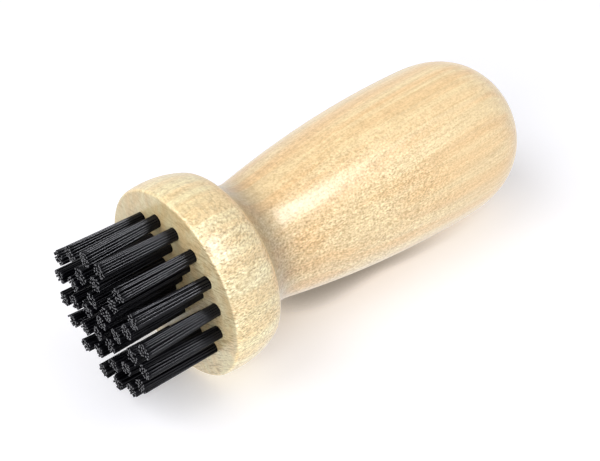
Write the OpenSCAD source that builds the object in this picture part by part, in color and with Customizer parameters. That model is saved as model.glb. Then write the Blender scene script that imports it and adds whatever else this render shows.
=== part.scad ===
// Rivet brush: a turned maple handle whose flat head is drilled with blind holes.
// Each hole holds a tuft of stiff black filament, folded over a flat wire anchor.
// The brush stands on its trimmed tips, with the origin below the middle of the head.

/* [Handle] */
// Length of the handle, from the drilled face to the domed end
handle_len = 115; // [95:1:140]
// Widest diameter of the grip
grip_d = 46; // [38:0.5:56]
// Length of the rounded end, beyond the widest part of the grip
dome_len = 24.5; // [18:0.5:32]
// Roundness of the end, where 2 is an ellipse and a higher value is squarer
dome_power = 2.5; // [2:0.1:3.5]
// Radius of the long curve that swells from the neck to the grip
swell_r = 325; // [260:5:420]
// Radius of the hollow that joins the head to the grip
cove_r = 10; // [7:0.5:14]

/* [Head] */
// Widest diameter of the head
head_d = 50; // [41:0.5:60]
// Thickness of the head, from the drilled face to the top of its back round
head_len = 15.3; // [12:0.1:19]
// Distance of the widest part of the head from the drilled face
belly_at = 4.8; // [3:0.1:6]
// Radius of the barrelled side of the head
belly_r = 24; // [20:0.5:36]
// Radius of the round between the side of the head and the hollow behind it
back_round = 3.5; // [1.5:0.1:5]
// Radius of the small round at the edge of the drilled face
face_round = 0.8; // [0.3:0.1:1.5]

/* [Drilling] */
// Diameter of each tuft hole
hole_d = 3.3; // [2.7:0.1:4]
// Depth of each tuft hole, down to where the point of the drill begins
hole_depth = 9; // [7:0.5:11]
// Angle of the drill's point
drill_angle = 118; // [90:1:140]
// Distance from the middle tuft to the inner ring
inner_step = 5.8; // [4.7:0.1:7]
// Distance from the inner ring to the middle ring
middle_step = 6.2; // [5.1:0.1:7.5]
// Distance from the middle ring to the outer ring
outer_step = 5.5; // [4.5:0.1:6.6]
// Tufts in the inner ring
inner_tufts = 6; // [4:1:7]
// Tufts in the middle ring
middle_tufts = 11; // [8:1:13]
// Tufts in the outer ring
outer_tufts = 16; // [12:1:19]
// Angle of the first tuft of the inner ring
inner_turn = 17; // [0:1:60]
// Angle of the first tuft of the middle ring
middle_turn = 30; // [0:1:40]
// Angle of the first tuft of the outer ring
outer_turn = 11; // [0:1:30]

/* [Tufts] */
// Length of the filament that stands out of the wood
bristle_len = 20; // [15:0.5:26]
// Diameter of a tuft at its trimmed tip, where the filaments spread
tip_d = 3.9; // [3.2:0.1:4.7]
// Ridges round a tuft, one for each filament on its outside
ridge_count = 16; // [12:1:20]
// Depth of the groove between two filaments
groove = 0.16; // [0.1:0.01:0.2]
// Gap between a tuft and the wall of its hole
tuft_gap = 0.03; // [0.02:0.01:0.06]

/* [Anchors] */
// Thickness of the flat wire
anchor_t = 0.5; // [0.3:0.05:0.7]
// Height of the flat wire, along the hole
anchor_h = 2; // [1.4:0.1:2.6]
// Length that each end of an anchor bites into the wood
anchor_bite = 0.45; // [0.3:0.05:0.6]
// Thickness of the folded filament between an anchor and the bottom of the hole
fold_h = 1.5; // [0.6:0.1:2]

/* [Hidden] */
$fn = 64;
arc_sag = 0.004;
dome_steps = 36;
cut_over = 1;

// Heights of the main planes, from the trimmed tips up
face_z = bristle_len;
hole_end_z = face_z + hole_depth;
anchor_z = hole_end_z - fold_h - anchor_h;

// Centres of the arcs of the handle, as [radius from the axis, distance from the face]
grip_at = handle_len - dome_len;
belly_c = [head_d / 2 - belly_r, belly_at];
edge_c = [belly_c[0] + leg(belly_r - face_round, belly_at - face_round), face_round];
back_at = head_len - back_round;
back_c = [belly_c[0] + leg(belly_r - back_round, back_at - belly_at), back_at];
swell_c = [grip_d / 2 - swell_r, grip_at];
cove_c = meet(back_c, back_round + cove_r, swell_c, swell_r + cove_r);

// Rings of tufts, from the middle of the face out
inner_ring = inner_step;
middle_ring = inner_ring + middle_step;
outer_ring = middle_ring + outer_step;
ring_names = ["centre", "inner", "middle", "outer"];
ring_counts = [1, inner_tufts, middle_tufts, outer_tufts];
ring_radii = [0, inner_ring, middle_ring, outer_ring];
ring_turns = [0, inner_turn, middle_turn, outer_turn];
tufts = [for (ring = [0:3]) for (k = [0:ring_counts[ring] - 1]) [ring, k]];
tuft_names = [for (t = tufts) str("tuft_", ring_names[t[0]], t[0] == 0 ? "" : str("_", t[1] + 1))];

// Sizes that a tuft and an anchor take from their hole
root_r = hole_d / 2 - tuft_gap;
anchor_w = hole_d + 2 * anchor_bite;
point_h = hole_d / 2 / tan(drill_angle / 2);

// The other short side of a right triangle
function leg(long, short) = sqrt(long * long - short * short);

// Point at the given distances from two others, outside the line from the first to the second
function meet(a, ra, b, rb) =
    let (
        apart = norm(b - a),
        along = (ra * ra - rb * rb + apart * apart) / (2 * apart),
        way = (b - a) / apart
    )
    a + along * way + leg(ra, along) * [way[1], -way[0]];

// Direction from one point of the outline to another
function heading(from, to) = atan2(to[1] - from[1], to[0] - from[0]);

// Points of an arc from one angle to another, both ends included, close enough to stay smooth
function arc(centre, r, a, b) =
    let (n = ceil(abs(b - a) / (2 * acos(1 - arc_sag / r))))
    [for (i = [0:n]) centre + r * [cos(a + (b - a) * i / n), sin(a + (b - a) * i / n)]];

// The domed end, from just past the widest part of the grip to the axis
function dome() =
    [for (i = [1:dome_steps])
        let (a = 90 * i / dome_steps, p = 2 / dome_power)
        [i == dome_steps ? 0 : grip_d / 2 * pow(cos(a), p), grip_at + dome_len * pow(sin(a), p)]];

// Half outline of the handle, with the axis on the left and the drilled face at the bottom
function handle_outline() =
    let (
        edge_end = heading(belly_c, edge_c),
        belly_end = heading(belly_c, back_c),
        back_end = heading(back_c, cove_c),
        swell_start = heading(swell_c, cove_c)
    )
    concat(
        [[0, 0]],
        arc(edge_c, face_round, -90, edge_end),
        arc(belly_c, belly_r, edge_end, belly_end),
        arc(back_c, back_round, belly_end, back_end),
        arc(cove_c, cove_r, back_end - 180, swell_start - 180),
        arc(swell_c, swell_r, swell_start, 0),
        dome()
    );

// Outline of a tuft, ridged by the filaments on its outside
function tuft_outline(r) =
    [for (i = [0:2 * ridge_count - 1])
        let (a = 180 * i / ridge_count, q = i % 2 == 0 ? r : r - groove)
        q * [cos(a), sin(a)]];

// Puts its children at the hole of one tuft, with X along the ring
module at_hole(t) {
    turn = ring_turns[t[0]] + 360 * t[1] / ring_counts[t[0]];
    rotate([0, 0, turn])
        translate([ring_radii[t[0]], 0, 0])
            rotate([0, 0, 90])
                children();
}

module drilled_hole() {
    translate([0, 0, face_z - cut_over])
        cylinder(d = hole_d, h = hole_depth + cut_over);
    translate([0, 0, hole_end_z])
        cylinder(d1 = hole_d, d2 = 0, h = point_h);
}

// Flat wire on edge across the bottom of the hole, with both ends in the wood
module anchor() {
    translate([-anchor_w / 2, -anchor_t / 2, anchor_z])
        cube([anchor_w, anchor_t, anchor_h]);
}

// The part of a tuft in its hole, bent round under the anchor
module tuft_root() {
    difference() {
        intersection() {
            translate([0, 0, face_z])
                linear_extrude(height = hole_depth)
                    polygon(tuft_outline(root_r));
            translate([-hole_d, 0, hole_end_z - root_r])
                rotate([90, 0, 90])
                    linear_extrude(height = 2 * hole_d)
                        union() {
                            circle(r = root_r);
                            translate([-root_r, -hole_depth])
                                square([2 * root_r, hole_depth]);
                        }
        }
        anchor();
    }
}

// The part of a tuft that stands out of the wood, spreading to its flat trimmed tip
module tuft_brush() {
    translate([0, 0, face_z])
        mirror([0, 0, 1])
            linear_extrude(height = bristle_len, scale = tip_d / 2 / root_r)
                polygon(tuft_outline(root_r));
}

module handle() {
    color("wheat")
        difference() {
            translate([0, 0, face_z])
                rotate_extrude()
                    polygon(handle_outline());
            for (t = tufts)
                at_hole(t) {
                    drilled_hole();
                    anchor();
                }
        }
}

module tuft(t) {
    color("black")
        at_hole(t)
            union() {
                tuft_root();
                tuft_brush();
            }
}

module anchors() {
    color("silver")
        for (t = tufts)
            at_hole(t)
                anchor();
}

handle();
for (i = [0:len(tufts) - 1])
    tuft(tufts[i]);
anchors();
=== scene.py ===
from math import cos, pi, radians, sin

import bpy
import numpy as np
from mathutils import Matrix, Vector


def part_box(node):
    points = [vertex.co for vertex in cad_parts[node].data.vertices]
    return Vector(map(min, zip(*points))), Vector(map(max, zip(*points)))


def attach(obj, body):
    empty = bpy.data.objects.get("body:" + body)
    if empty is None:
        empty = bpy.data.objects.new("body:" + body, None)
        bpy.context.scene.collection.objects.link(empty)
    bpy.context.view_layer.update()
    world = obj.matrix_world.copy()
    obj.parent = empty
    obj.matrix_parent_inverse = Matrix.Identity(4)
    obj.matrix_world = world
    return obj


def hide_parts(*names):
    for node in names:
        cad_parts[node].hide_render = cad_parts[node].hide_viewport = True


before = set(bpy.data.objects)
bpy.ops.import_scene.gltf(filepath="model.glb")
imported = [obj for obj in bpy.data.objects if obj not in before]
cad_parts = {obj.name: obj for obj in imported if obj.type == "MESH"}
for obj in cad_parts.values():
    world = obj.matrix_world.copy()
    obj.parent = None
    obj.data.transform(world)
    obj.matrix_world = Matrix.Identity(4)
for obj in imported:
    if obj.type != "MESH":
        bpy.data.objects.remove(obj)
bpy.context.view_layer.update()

scene = bpy.context.scene
scene.view_settings.view_transform = "Standard"

tuftNames = sorted(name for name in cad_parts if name.startswith("tuft_"))
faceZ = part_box("handle")[0].z  # the drilled face
print("frame loaded:", len(tuftNames), "tufts")


# Small helpers for the materials

def addNode(tree, kind, inputs=None, **settings):
    node = tree.nodes.new(kind)
    for key, value in settings.items():
        setattr(node, key, value)
    for key, value in (inputs or {}).items():
        if isinstance(value, bpy.types.NodeSocket):
            tree.links.new(value, node.inputs[key])
        else:
            node.inputs[key].default_value = value
    return node


def calc(tree, operation, *values):
    return addNode(tree, "ShaderNodeMath", dict(enumerate(values)), operation=operation).outputs[0]


def times(tree, first, second):
    return calc(tree, "MULTIPLY", first, second)


def centred(tree, field):
    # Noise lies round a half, and this brings it round zero
    return calc(tree, "SUBTRACT", field, 0.5)


def joined(tree, x, y, z):
    return addNode(tree, "ShaderNodeCombineXYZ", {0: x, 1: y, 2: z}).outputs[0]


def parted(tree, vector):
    return addNode(tree, "ShaderNodeSeparateXYZ", {0: vector}).outputs


def noise(tree, place, size, detail=2.0, roughness=0.5):
    # Noise whose features are about size long in each direction, in metres
    step = [1 / s for s in size]
    scaled = addNode(tree, "ShaderNodeVectorMath", {0: place, 1: step}, operation="MULTIPLY")
    inputs = {"Vector": scaled.outputs[0], "Scale": 1.0, "Detail": detail, "Roughness": roughness}
    return addNode(tree, "ShaderNodeTexNoise", inputs).outputs["Fac"]


def between(tree, value, low, high, fromEnd=0.0, toEnd=1.0):
    inputs = {"Value": value, "From Min": low, "From Max": high, "To Min": fromEnd, "To Max": toEnd}
    return addNode(tree, "ShaderNodeMapRange", inputs, interpolation_type="SMOOTHSTEP").outputs[0]


def mixColour(tree, amount, first, second, blend="MIX"):
    node = addNode(tree, "ShaderNodeMix", data_type="RGBA", blend_type=blend)
    for index, value in ((0, amount), (6, first), (7, second)):
        if isinstance(value, bpy.types.NodeSocket):
            tree.links.new(value, node.inputs[index])
        else:
            node.inputs[index].default_value = value if index == 0 else (*value, 1.0)
    return node.outputs[2]


def tinted(tree, colour, amount, tint):
    # The colour times the tint, where the amount is 1
    return mixColour(tree, amount, colour, mixColour(tree, 1.0, colour, tint, "MULTIPLY"))


def fromFace(places):
    # Heights of places that are given as distances from the drilled face
    return [faceZ + place for place in places]


def newMaterial(name, **constants):
    material = bpy.data.materials.new(name)
    material.use_nodes = True
    tree = material.node_tree
    shader = tree.nodes["Principled BSDF"]
    for key, value in constants.items():
        shader.inputs[key.replace("_", " ")].default_value = value
    return material, tree, shader


def setMaterial(piece, *materials):
    piece.data.materials.clear()
    for material in materials:
        piece.data.materials.append(material)


# Turned maple under a clear lacquer. The grain follows the tree, whose centre lies beside the handle.
mapleLook = {
    "pithTurn": -59.0,  # degrees round the axis, to the side with the flat grain
    "pithAway": 0.070,
    "grainTilt": 1.6,  # degrees between the grain and the axis
    "ringStep": 0.0027,
    "ringWander": 0.0016,
    "ringBend": (0.011, 0.014, 0.05),  # over what lengths a ring wanders
    "ringEdge": (0.35, 0.93, 0.99),  # where a ring's line starts, is darkest and ends, as shares of a year
    "faintYear": 0.35,
    "ringDark": 0.27,
    "bandSize": (0.0035, 0.007, 0.12),
    "bandEdge": (0.36, 0.64),
    "streakSize": (0.0009, 0.0009, 0.03),
    "streakShade": 0.32,
    "fibreSize": (0.00042, 0.00042, 0.0025),
    "fibreShade": 0.26,
    "speckSize": (0.00052, 0.00052, 0.00062),
    "speckShade": 1.5,
    "plainSpecks": 0.22,  # how strong the specks still are where there is no figure
    "flickSize": (0.003, 0.00050, 0.0011),  # into the tree, round it and along it
    "flickEdge": (0.52, 0.64),
    "flickDark": (0.50, 0.80),  # on the grip and on the head
    "curlSize": (0.009, 0.006, 0.0013),
    "curlSlant": 0.4,
    "curlShade": 0.30,
    "patchSize": (0.018, 0.018, 0.03),
    "patchEdge": (0.35, 0.65),
    "faintPatch": 0.75,
    "figuredSide": (0.77, -0.64),  # the side of the handle with the strongest figure
    "figuredEdge": (-0.004, 0.020),  # where the figure begins to grow towards that side, and is full
    "faintSide": 0.40,
    "figuredLow": (0.050, 0.088),  # where the figure begins to fade and is faintest, from the drilled face
    "faintLow": 0.35,
    "figuredTint": (0.94, 0.970, 1.05),
    "pale": (0.915, 0.690, 0.358),
    "warm": (0.890, 0.592, 0.272),
    "ringBrown": (0.72, 0.47, 0.23),
    "flickBrown": (0.50, 0.31, 0.13),
    "headTint": (1.00, 1.12, 1.24),
    "headPlace": (0.011, 0.015),  # where that tone ends, from the drilled face
    "headSmooth": 0.8,  # how strong the specks still are there
    "headSideLightTint": (1.12, 1.12, 1.07),  # painted light, on the head's +x side
    "headSideLightPlace": (0.010, 0.022),  # in x
    "endTint": (0.78, 0.78, 0.78),
    "endSteep": 0.75,  # end grain starts where the surface faces this far along the axis
    "endSmooth": 0.35,
    # Painted shade in the hollow behind the head, where the head's shadow falls
    "hollowShadeTint": (0.62, 0.63, 0.66),
    "hollowShadePlace": (0.0140, 0.0175, 0.0290),  # start, darkest place and end, from the drilled face
    # Lighter painted shade on the neck beyond the hollow, where the head's shadow reaches
    "neckShadeTint": (0.92, 0.91, 0.91),
    "neckShadePlace": (0.024, 0.058),
    "coatRough": (0.24, 0.20),  # on the head and on the grip
    "turningStep": 0.0005,
    "woodRelief": 0.00006,
    "coatRelief": 0.00007,
}


def grainAxes(tree, place, look):
    # Distance from the tree's centre, way round it and height up it
    turned = addNode(tree, "ShaderNodeMapping", {
        "Vector": place,
        "Location": (-look["pithAway"], 0, 0),
        "Rotation": (0, radians(look["grainTilt"]), -radians(look["pithTurn"])),
    }, vector_type="POINT").outputs[0]
    x, y, along = parted(tree, turned)
    flat = joined(tree, x, y, 0.0)
    away = addNode(tree, "ShaderNodeVectorMath", {0: flat}, operation="LENGTH").outputs["Value"]
    angle = calc(tree, "ARCTAN2", y, times(tree, x, -1.0))
    return away, times(tree, angle, look["pithAway"]), along


def ringLines(tree, grain, away, look):
    # A thin darker line at the end of each year's wood, some years stronger
    wander = centred(tree, noise(tree, grain, look["ringBend"], 2.0))
    wandered = calc(tree, "MULTIPLY_ADD", wander, 2 * look["ringWander"], away)
    rings = calc(tree, "DIVIDE", wandered, look["ringStep"])
    year = calc(tree, "FLOOR", rings)
    yearly = addNode(tree, "ShaderNodeTexWhiteNoise", {"W": year}, noise_dimensions="1D").outputs["Value"]
    phase = calc(tree, "FRACT", rings)
    start, darkest, end = look["ringEdge"]
    line = times(tree, between(tree, phase, start, darkest), between(tree, phase, end, darkest))
    return times(tree, line, between(tree, yearly, 0.0, 1.0, look["faintYear"], 1.0))


def figureStrength(tree, x, y, z, grain, look):
    # Most on one side of the handle, less towards the dome, and in patches
    sideX, sideY = look["figuredSide"]
    towards = calc(tree, "MULTIPLY_ADD", x, sideX, times(tree, y, sideY))
    onFigured = between(tree, towards, *look["figuredEdge"])
    figured = between(tree, onFigured, 0.0, 1.0, look["faintSide"], 1.0)
    figured = times(tree, figured, between(tree, z, *fromFace(look["figuredLow"]), 1.0, look["faintLow"]))
    patches = noise(tree, grain, look["patchSize"], 1.0)
    figured = times(tree, figured, between(tree, patches, *look["patchEdge"], look["faintPatch"], 1.0))
    return onFigured, figured


def makeMaple(look):
    material, tree, shader = newMaterial("turnedMaple", Roughness=0.5, Coat_Weight=0.8, Coat_IOR=1.6)
    place = addNode(tree, "ShaderNodeTexCoord").outputs["Object"]
    x, y, z = parted(tree, place)
    away, around, along = grainAxes(tree, place, look)
    grain = joined(tree, away, around, along)
    onFigured, figured = figureStrength(tree, x, y, z, grain, look)

    # Where the parts of the handle are
    headEnd, gripStart = fromFace(look["headPlace"])
    onHead = between(tree, z, gripStart, headEnd)
    # Painted light on the head's +x side
    onHeadSideLight = times(tree, onHead, between(tree, x, *look["headSideLightPlace"]))
    facing = parted(tree, addNode(tree, "ShaderNodeNewGeometry").outputs["Normal"])[2]
    endOn = between(tree, calc(tree, "ABSOLUTE", facing), look["endSteep"], 1.0)
    # Painted shade in the hollow behind the head
    start, darkest, end = fromFace(look["hollowShadePlace"])
    inHollowShade = times(tree, between(tree, z, start, darkest), between(tree, z, end, darkest))
    # Lighter painted shade on the neck beyond the hollow
    neckStart, neckEnd = fromFace(look["neckShadePlace"])
    inNeckShade = times(tree, between(tree, z, neckEnd, neckStart), between(tree, z, headEnd, gripStart))

    # Flicks are the ends of the tree's rays, and the curl is a slanting ripple of the fibres
    slanted = calc(tree, "MULTIPLY_ADD", around, look["curlSlant"], along)
    rippled = joined(tree, away, around, slanted)
    flicks = between(tree, noise(tree, rippled, look["flickSize"], 1.0), *look["flickEdge"])
    flicks = times(tree, flicks, figured)
    curl = noise(tree, rippled, look["curlSize"], 1.0)
    bands = noise(tree, grain, look["bandSize"], 2.0)
    streaks = noise(tree, grain, look["streakSize"], 1.0)
    fibres = noise(tree, grain, look["fibreSize"], 1.0)
    specks = noise(tree, grain, look["speckSize"], 1.0, 0.6)

    colour = mixColour(tree, between(tree, bands, *look["bandEdge"]), look["pale"], look["warm"])
    ringShade = times(tree, ringLines(tree, grain, away, look), look["ringDark"])
    colour = mixColour(tree, ringShade, colour, look["ringBrown"])
    flickShade = times(tree, flicks, between(tree, onHead, 0.0, 1.0, *look["flickDark"]))
    colour = mixColour(tree, flickShade, colour, look["flickBrown"])

    # Specks, fibres, curl and streaks make it darker or lighter, and a darker place is also redder
    grit = times(tree, centred(tree, specks), between(tree, figured, 0.1, 1.0, look["plainSpecks"], 1.0))
    grit = times(tree, grit, between(tree, onHead, 0.0, 1.0, 1.0, look["headSmooth"]))
    grit = times(tree, grit, between(tree, endOn, 0.0, 1.0, 1.0, look["endSmooth"]))
    shade = 1.0
    for field, amount in (
        (centred(tree, fibres), look["fibreShade"]),
        (grit, look["speckShade"]),
        (times(tree, centred(tree, curl), figured), look["curlShade"]),
        (centred(tree, streaks), look["streakShade"]),
    ):
        shade = calc(tree, "MULTIPLY_ADD", field, amount, shade)
    tint = addNode(tree, "ShaderNodeCombineColor", {
        0: shade, 1: calc(tree, "POWER", shade, 1.3), 2: calc(tree, "POWER", shade, 1.8),
    }).outputs[0]
    colour = mixColour(tree, 1.0, colour, tint, "MULTIPLY")

    # The head is paler and end grain is duller. Painted light brightens the head's +x side, painted shade
    # darkens the hollow behind the head, and a lighter painted shade darkens the neck beyond it
    for amount, tintName in (
        (onFigured, "figuredTint"), (onHead, "headTint"), (onHeadSideLight, "headSideLightTint"),
        (endOn, "endTint"), (inHollowShade, "hollowShadeTint"), (inNeckShade, "neckShadeTint"),
    ):
        colour = tinted(tree, colour, amount, look[tintName])
    tree.links.new(colour, shader.inputs["Base Color"])
    tree.links.new(between(tree, z, start, end, *look["coatRough"]), shader.inputs["Coat Roughness"])

    # The wood's own relief, and faint lines round the axis from the turning
    lines = addNode(tree, "ShaderNodeTexNoise", {
        "W": calc(tree, "DIVIDE", z, look["turningStep"]), "Scale": 1.0, "Detail": 1.0,
    }, noise_dimensions="1D").outputs["Fac"]
    height = calc(tree, "MULTIPLY_ADD", specks, 0.35, times(tree, flicks, -0.5))
    height = calc(tree, "MULTIPLY_ADD", lines, 0.18, height)
    soft = calc(tree, "MULTIPLY_ADD", curl, 0.8, times(tree, specks, 0.9))
    for field, relief, socket in ((height, "woodRelief", "Normal"), (soft, "coatRelief", "Coat Normal")):
        bump = addNode(tree, "ShaderNodeBump", {"Strength": 0.6, "Distance": look[relief], "Height": field})
        tree.links.new(bump.outputs[0], shader.inputs[socket])
    return material


setMaterial(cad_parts["handle"], makeMaple(mapleLook))
print("handle: maple and lacquer")


# Flat steel wire, seen only where the filaments part
wireLook = {
    "bright": (0.62, 0.61, 0.58),
    "dull": (0.40, 0.39, 0.37),
    "rough": (0.28, 0.45),
    "streakSize": (0.002, 0.002, 0.0001),
}


def makeWire(look):
    material, tree, shader = newMaterial("anchorWire", Metallic=1.0)
    place = addNode(tree, "ShaderNodeTexCoord").outputs["Object"]
    streaks = noise(tree, place, look["streakSize"], 3.0)
    tree.links.new(mixColour(tree, streaks, look["dull"], look["bright"]), shader.inputs["Base Color"])
    tree.links.new(between(tree, streaks, 0.3, 0.7, *look["rough"]), shader.inputs["Roughness"])
    return material


setMaterial(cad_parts["anchors"], makeWire(wireLook))
print("anchors: steel wire")


# Extruded black filament, smooth along its side and torn rough where it was trimmed
filamentLook = {
    "deepBlack": (0.0015, 0.0015, 0.0020),
    "softBlack": (0.0035, 0.0035, 0.0055),
    "sheen": (0.92, 0.93, 1.0, 1.0),
    "drawSize": (0.0004, 0.0004, 0.006),
    "rough": (0.19, 0.27),
    "cutDark": (0.045, 0.045, 0.050),
    "cutGrey": (0.15, 0.15, 0.16),
    "cutSize": (0.00022, 0.00022, 0.00022),
    "cutEdge": (0.28, 0.46),
    "cutRelief": 0.00005,
}


def makeFilament(look):
    shine = {"Specular_IOR_Level": 0.22, "Specular_Tint": look["sheen"]}
    material, tree, shader = newMaterial("blackFilament", **shine)
    place = addNode(tree, "ShaderNodeTexCoord").outputs["Object"]
    drawn = noise(tree, place, look["drawSize"], 2.0)
    colour = mixColour(tree, drawn, look["deepBlack"], look["softBlack"])
    tree.links.new(colour, shader.inputs["Base Color"])
    tree.links.new(between(tree, drawn, 0.3, 0.7, *look["rough"]), shader.inputs["Roughness"])
    return material


def makeCutEnd(look):
    material, tree, shader = newMaterial("trimmedEnd", Roughness=0.6, Specular_IOR_Level=0.4)
    place = addNode(tree, "ShaderNodeTexCoord").outputs["Object"]
    torn = noise(tree, place, look["cutSize"], 2.0)
    colour = mixColour(tree, between(tree, torn, *look["cutEdge"]), look["cutDark"], look["cutGrey"])
    tree.links.new(colour, shader.inputs["Base Color"])
    bump = addNode(tree, "ShaderNodeBump", {"Strength": 0.8, "Distance": look["cutRelief"], "Height": torn})
    tree.links.new(bump.outputs[0], shader.inputs["Normal"])
    return material


blackFilament = makeFilament(filamentLook)
trimmedEnd = makeCutEnd(filamentLook)


# One tuft: filaments packed side by side in their hole, folded round the anchor and trimmed at the tips
tuftPlan = {
    "seed": 41,
    "folded": 14,  # filaments, each with two legs
    "thick": 0.00053,
    "sides": 8,
    "cutShare": 0.84,  # width of the flat cut, inside its rounded rim
    # Shares of the free length, from the tip
    "legStops": (0.0, 0.004, 0.06, 0.2, 0.4, 0.6, 0.8, 0.94, 1.0),
    "bendStops": (30, 60, 90, 120, 150),
    "lean": 0.00009,  # how far a tip strays from its place
    "bow": 0.00004,
    "strayShare": 0.05,
    "strayLean": 0.00060,
    "tuftLean": 0.00012,  # how far a whole tuft leans to one side
    "knownLean": {  # tufts that plainly lean in the photo, in x and y at their tips
        "tuft_outer_1": (-0.0005, 0.0007),
        "tuft_outer_2": (-0.0006, 0.0007),
        "tuft_outer_3": (0.0002, 0.0003),
        "tuft_outer_4": (-0.0009, 0.0002),
        "tuft_outer_5": (-0.0009, -0.0004),
        "tuft_outer_8": (-0.0009, 0.0006),
        "tuft_outer_9": (0.0001, -0.0005),
        "tuft_outer_10": (0.0006, -0.0006),
        "tuft_outer_13": (-0.0002, -0.0003),
        "tuft_outer_14": (0.0001, 0.0),
        "tuft_outer_15": (-0.0006, 0.0006),
        "tuft_outer_16": (-0.0006, 0.0008),
        "tuft_middle_1": (-0.0005, 0.0008),
        "tuft_middle_2": (-0.0003, 0.0004),
        "tuft_middle_9": (-0.0002, -0.0003),
        "tuft_middle_10": (-0.0002, 0.0),
        "tuft_middle_11": (-0.0005, 0.0007),
        "tuft_inner_1": (-0.0001, 0.0003),
        "tuft_inner_6": (-0.0003, -0.0004),
    },
    "shortBy": 0.00045,  # unevenness of the trimming
    "leastTip": 0.00003,
}


def relax(points, room, apart, clearOf=0.0, turns=90):
    # Pushes the filaments off each other, in a round hole and clear of the anchor across its middle
    sides = np.sign(points[:, 1])
    for _ in range(turns):
        gap = points[:, None, :] - points[None, :, :]
        far = np.linalg.norm(gap, axis=2) + 1e-9
        push = np.clip(apart - far, 0, None) * 0.5
        np.fill_diagonal(push, 0)
        points = points + (gap / far[:, :, None] * push[:, :, None]).sum(axis=1) * 0.6
        if clearOf > 0:
            points[:, 1] = sides * np.maximum(points[:, 1] * sides, clearOf)
        size = np.linalg.norm(points, axis=1)
        points *= np.minimum(1.0, room / np.maximum(size, 1e-9))[:, None]
    return points


def tuftSizes(name):
    # Everything about a tuft's place comes from its solid and its anchor
    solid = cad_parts[name].data
    low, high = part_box(name)
    spots = np.array([v.co for v in solid.vertices])
    middle = np.array([(low.x + high.x) / 2, (low.y + high.y) / 2])
    spread = np.linalg.norm(spots[:, :2] - middle, axis=1)
    return {
        "middle": middle,
        "turn": np.arctan2(middle[1], middle[0]) if np.linalg.norm(middle) > 0.001 else 0.0,
        "tipRadius": spread[spots[:, 2] < low.z + 0.0005].max(),
        "rootRadius": spread[spots[:, 2] > faceZ + 0.001].max(),
        "foldTop": high.z,
    }


def filamentPaths(sizes, plan, rng, lean):
    # The line of each folded filament, in the hole's own axes: x along the anchor, y across it
    anchorLow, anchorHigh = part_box("anchors")
    radius = plan["thick"] / 2
    room = sizes["rootRadius"] - radius
    count = plan["folded"]
    angle = rng.uniform(0.05, pi - 0.05, count)
    reach = room * np.sqrt(rng.uniform(0.02, 1.0, count))
    upper = np.stack([reach * np.cos(angle), reach * np.sin(angle)], axis=1)
    start = np.concatenate([upper, upper * [1, -1]])
    root = relax(start, room, plan["thick"] * 1.01)
    seat = root.copy()
    seat[:count, 1] = np.abs(seat[:count, 1])
    seat[count:, 1] = -np.abs(seat[count:, 1])
    seat = relax(seat, room, plan["thick"], clearOf=radius + anchorThick / 2)

    spreadBy = (sizes["tipRadius"] - radius) / room
    legs = 2 * count
    away = rng.normal(0, plan["lean"], (legs, 2))
    strays = rng.random(legs) < plan["strayShare"]
    outward = root / np.maximum(np.linalg.norm(root, axis=1), 1e-6)[:, None]
    away = away + outward * (strays * rng.uniform(0.4, 1.0, legs) * plan["strayLean"])[:, None]
    tip = root * spreadBy + away + lean
    bow = rng.normal(0, plan["bow"], (legs, 2))
    tipZ = rng.random(legs) ** 2 * plan["shortBy"]
    tipZ += plan["leastTip"] - tipZ.min()

    bendZ = sizes["foldTop"] - sizes["rootRadius"]
    paths = []
    for k in range(count):
        line = []
        for leg in (k, k + count):
            points = []
            for s in plan["legStops"]:
                x, y = tip[leg] + (root[leg] - tip[leg]) * s + bow[leg] * sin(pi * s)
                points.append((x, y, tipZ[leg] + (faceZ - tipZ[leg]) * s))
            for s in (0.5, 1.0):
                x, y = root[leg] + (seat[leg] - root[leg]) * s
                points.append((x, y, faceZ + (anchorLow.z - faceZ) * s))
            points.append((*seat[leg], bendZ))
            line.append(points)
        near, far = seat[k], seat[k + count]
        across = (near[1] - far[1]) / 2
        deep = (across - radius - anchorThick / 2) / (room - radius - anchorThick / 2)
        lowest = anchorHigh.z + radius - bendZ
        rise = lowest + deep * (sizes["foldTop"] - radius - bendZ - lowest)
        bend = []
        for degrees in plan["bendStops"]:
            a = radians(degrees)
            share = (1 - cos(a)) / 2
            bend.append((*(near + (far - near) * share), bendZ + rise * sin(a)))
        paths.append(line[0] + bend + line[1][::-1])
    return np.array(paths)


def tubeMesh(name, paths, plan):
    # A closed tube along each path, capped at both trimmed ends
    count, stops, _ = paths.shape
    sides = plan["sides"]
    tangent = np.gradient(paths, axis=1)
    tangent /= np.linalg.norm(tangent, axis=2)[:, :, None]
    first = np.array([1.0, 0.0, 0.0]) - tangent * tangent[:, :, :1]
    first /= np.linalg.norm(first, axis=2)[:, :, None]
    second = np.cross(tangent, first)
    angle = 2 * pi * np.arange(sides) / sides
    ring = first[:, :, None, :] * np.cos(angle)[:, None] + second[:, :, None, :] * np.sin(angle)[:, None]
    radius = np.full(stops, plan["thick"] / 2)
    radius[[0, -1]] *= plan["cutShare"]
    verts = (paths[:, :, None, :] + ring * radius[:, None, None]).reshape(-1, 3)
    faces = []
    ends = []
    for k in range(count):
        base = k * stops * sides
        for i in range(stops - 1):
            for j in range(sides):
                a = base + i * sides + j
                b = base + i * sides + (j + 1) % sides
                faces.append((a, b, b + sides, a + sides))
        last = base + (stops - 1) * sides
        ends.append(tuple(base + j for j in reversed(range(sides))))
        ends.append(tuple(last + j for j in range(sides)))
    mesh = bpy.data.meshes.new(name)
    mesh.from_pydata(verts.tolist(), [], faces + ends)
    mesh.materials.append(blackFilament)
    mesh.materials.append(trimmedEnd)
    slots = np.zeros(len(faces) + len(ends), np.int32)
    slots[len(faces):] = 1
    mesh.polygons.foreach_set("material_index", slots)
    mesh.polygons.foreach_set("use_smooth", np.ones(len(slots), bool))
    mesh.set_sharp_from_angle(angle=radians(60))
    mesh.update()
    return mesh


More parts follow.
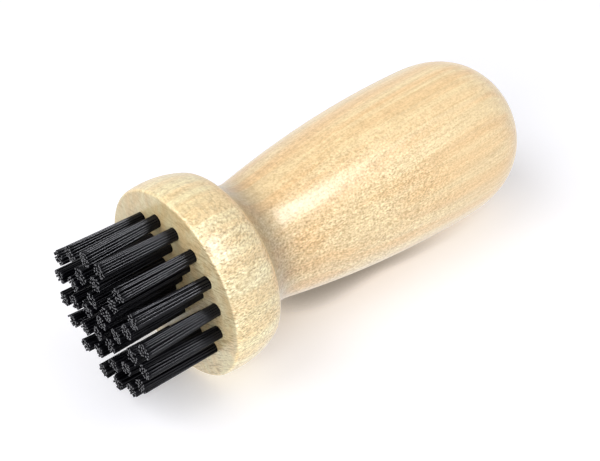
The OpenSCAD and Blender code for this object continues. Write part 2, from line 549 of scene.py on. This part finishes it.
def makeTuft(name, plan, rng):
    sizes = tuftSizes(name)
    turn = Matrix.Rotation(sizes["turn"] + radians(90), 4, "Z")
    lean = Vector((*plan["knownLean"].get(name, rng.normal(0, plan["tuftLean"], 2)), 0))
    paths = filamentPaths(sizes, plan, rng, np.array(turn.transposed() @ lean)[:2])
    mesh = tubeMesh("filaments_" + name, paths, plan)
    put = Matrix.Translation((*sizes["middle"], 0)) @ turn
    mesh.transform(put)
    tuft = bpy.data.objects.new("filaments_" + name, mesh)
    tuftGroup.objects.link(tuft)
    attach(tuft, "root")
    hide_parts(name)
    return tuft


anchorSpots = np.array([v.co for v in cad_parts["anchors"].data.vertices])
middleAnchor = anchorSpots[np.linalg.norm(anchorSpots[:, :2], axis=1) < 0.003]
anchorThick = 2 * min(np.abs(middleAnchor[:, 0]).max(), np.abs(middleAnchor[:, 1]).max())
dice = np.random.default_rng(tuftPlan["seed"])
tuftGroup = bpy.data.collections.new("tuftGroup")
scene.collection.children.link(tuftGroup)
tufts = [makeTuft(name, tuftPlan, dice) for name in tuftNames]
print("tufts:", len(tufts), "with", 2 * tuftPlan["folded"], "ends each")


# White studio: even light from all round, and wide soft lamps for the colours.
# Narrower ones only shine in the lacquer and on the filaments.
studio = {
    "ambient": 0.42,
    "middle": (0.0, 0.0, 0.06),
    "away": 2.0,
    # For each lamp: where it is from the middle, its two sizes, how bright it makes a white surface
    # facing it, and whether it lights colours ("lit"), shines in gloss ("shine") or does both
    "frontSoftbox": ((0.0, -0.57, -0.82), (1.2, 1.2), 0.50, "both"),
    "leftSoftbox": ((-0.66, -0.42, -0.58), (1.3, 1.3), 0.42, "both"),
    "rightSoftbox": ((0.86, -0.40, -0.32), (1.2, 1.2), 0.28, "lit"),
    "backSoftbox": ((0.44, -0.42, 0.79), (1.2, 1.2), 0.15, "lit"),
    "topSoftbox": ((-0.26, -0.94, 0.24), (1.0, 1.0), 0.11, "lit"),
    "tableGlow": ((0.93, 0.22, 0.25), (1.8, 1.8), 0.14, "lit"),
    "keySoftbox": ((-0.215, -0.957, 0.19), (0.74, 0.40), 0.19, "shine"),
    "veilSoftbox": ((-0.17, -0.935, 0.31), (1.30, 0.85), 0.14, "shine"),
    "streakSoftbox": ((-0.33, -0.80, 0.50), (0.5, 0.7), 1.3, "shine"),  # for the tufts alone
}


def addLamp(name, fromWhere, size, level, use, away, middle):
    light = bpy.data.lights.new(name, "AREA")
    light.shape = "RECTANGLE"
    light.size, light.size_y = size
    light.energy = pi * pi * away * away * level
    lamp = bpy.data.objects.new(name, light)
    scene.collection.objects.link(lamp)
    way = Vector(fromWhere).normalized()
    lamp.location = Vector(middle) + way * away
    lamp.rotation_mode = "QUATERNION"
    lamp.rotation_quaternion = (-way).to_track_quat("-Z", "Y")
    lamp.visible_camera = False
    lamp.visible_diffuse = use != "shine"
    lamp.visible_glossy = use != "lit"
    return lamp


def addWorld(level):
    world = bpy.data.worlds.new("whiteRoom")
    scene.world = world
    world.use_nodes = True
    tree = world.node_tree
    tree.nodes.clear()
    path = addNode(tree, "ShaderNodeLightPath").outputs
    # The camera, metal and glass see white, and everything else is lit by a plain level
    seen = calc(tree, "MAXIMUM", path["Is Camera Ray"], path["Is Glossy Ray"])
    seen = calc(tree, "MAXIMUM", seen, path["Is Transmission Ray"])
    strength = between(tree, seen, 0.0, 1.0, level, 1.0)
    back = addNode(tree, "ShaderNodeBackground", {"Color": (1, 1, 1, 1), "Strength": strength})
    addNode(tree, "ShaderNodeOutputWorld", {"Surface": back.outputs[0]})


addWorld(studio["ambient"])
for lampName in [name for name in studio if name.endswith(("Softbox", "Glow"))]:
    lamp = addLamp(lampName, *studio[lampName], studio["away"], studio["middle"])
    if lampName == "streakSoftbox":
        lamp.light_linking.receiver_collection = tuftGroup


# The brush stands on the floor. In the photo it lies on a white table, which is the card beside it here.
# Both are white paper seen from the front only, and both keep the brush's shadow. Close under the handle,
# the card also gets painted shade.
paperLook = {
    "floorSize": 6.0,
    "cardSize": 1.6,
    "floorWhite": 0.45,
    "floorGlow": 0.78,
    "cardWhite": 0.92,
    "cool": 1.05,  # how much more blue than red the paper gives back
    "cardGlow": 0.182,
    "nearShade": 0.62,  # how much the paper darkens close under the handle
    "nearClosed": 0.45,  # share of open sky at which that darkening is full
    "nearReach": (0.0080, 0.0050),  # at the neck and at the grip
    "reachHeight": (0.055, 0.085),
    "shadeHeight": (0.036, 0.050, 0.075, 0.120),  # where the darkening starts, is full, fades and ends
    "cardTurn": 45.0,  # degrees round the axis, to the side that the brush lies on
    "headRadius": 0.025,
    "headAt": 0.0248,
    "gripRadius": 0.023,
    "gripAt": 0.1105,
}


def makePaper(name, look, white, ownGlow):
    material = bpy.data.materials.new(name)
    material.use_nodes = True
    tree = material.node_tree
    tree.nodes.clear()
    place = addNode(tree, "ShaderNodeTexCoord").outputs["Object"]
    height = parted(tree, place)[2]
    reach = between(tree, height, *look["reachHeight"], *look["nearReach"])
    start, full, fade, end = look["shadeHeight"]
    shade = between(tree, height, fade, end, look["nearShade"], 0.0)
    shade = times(tree, shade, between(tree, height, start, full))
    # Painted shade: the paper's white and glow are darkened where the AO node finds the handle close, set
    # by height
    freeAbove = addNode(tree, "ShaderNodeAmbientOcclusion", {"Distance": reach}, samples=8).outputs["AO"]
    closed = between(tree, freeAbove, 1.0, look["nearClosed"])
    left = calc(tree, "SUBTRACT", 1.0, times(tree, closed, shade))
    grey = times(tree, left, white)
    blue = times(tree, grey, look["cool"])
    tone = addNode(tree, "ShaderNodeCombineColor", {0: grey, 1: grey, 2: blue}).outputs[0]
    lit = addNode(tree, "ShaderNodeBsdfDiffuse", {"Color": tone})
    glow = times(tree, left, ownGlow)
    own = addNode(tree, "ShaderNodeEmission", {"Color": (1, 1, 1, 1), "Strength": glow})
    both = addNode(tree, "ShaderNodeAddShader", {0: lit.outputs[0], 1: own.outputs[0]})
    clear = addNode(tree, "ShaderNodeBsdfTransparent")
    behind = addNode(tree, "ShaderNodeNewGeometry").outputs["Backfacing"]
    mix = addNode(tree, "ShaderNodeMixShader", {0: behind, 1: both.outputs[0], 2: clear.outputs[0]})
    addNode(tree, "ShaderNodeOutputMaterial", {"Surface": mix.outputs[0]})
    return material


def addPaper(name, size, place, normal, material):
    half = size / 2
    mesh = bpy.data.meshes.new(name)
    corners = [(-half, -half, 0), (half, -half, 0), (half, half, 0), (-half, half, 0)]
    mesh.from_pydata(corners, [], [(0, 1, 2, 3)])
    mesh.transform(Matrix.Translation(place) @ normal.to_track_quat("Z", "Y").to_matrix().to_4x4())
    paper = bpy.data.objects.new(name, mesh)
    scene.collection.objects.link(paper)
    setMaterial(paper, material)
    paper.visible_diffuse = False
    paper.visible_glossy = False
    paper.visible_transmission = False
    paper.visible_shadow = False
    return paper


def addCard(look):
    towards = Vector((cos(radians(look["cardTurn"])), sin(radians(look["cardTurn"])), 0))
    slope = (look["headRadius"] - look["gripRadius"]) / (look["gripAt"] - look["headAt"])
    normal = -(towards + Vector((0, 0, slope))).normalized()
    touch = towards * look["headRadius"] + Vector((0, 0, look["headAt"]))
    cardPaper = makePaper("cardPaper", look, look["cardWhite"], look["cardGlow"])
    addPaper("card", look["cardSize"], touch, normal, cardPaper)


floorPaper = makePaper("floorPaper", paperLook, paperLook["floorWhite"], paperLook["floorGlow"])
addPaper("floor", paperLook["floorSize"], Vector((0, 0, 0)), Vector((0, 0, 1)), floorPaper)
addCard(paperLook)
print("studio: lamps, floor and card")


# The photo's view, fitted to the outline of the handle and the tips of the tufts
photoView = {
    "place": (0.00199, -0.20909, -0.07235),
    "aim": (0.00339, 0.0, 0.05872),
    "roll": -60.87,  # degrees from upright, about the line of sight
    "lens": 57.11,
    "sensor": 36.0,
}


def addCamera(view):
    forward = (Vector(view["aim"]) - Vector(view["place"])).normalized()
    side = forward.cross(Vector((0, 0, 1))).normalized()
    up = side.cross(forward) * cos(radians(view["roll"])) + side * sin(radians(view["roll"]))
    right = forward.cross(up)
    turn = Matrix((right, up, -forward)).transposed()
    data = bpy.data.cameras.new("photoCamera")
    data.lens = view["lens"]
    data.sensor_width = view["sensor"]
    data.clip_start = 0.005
    camera = bpy.data.objects.new("photoCamera", data)
    scene.collection.objects.link(camera)
    camera.matrix_world = Matrix.Translation(view["place"]) @ turn.to_4x4()
    scene.camera = camera


addCamera(photoView)
print("camera placed")
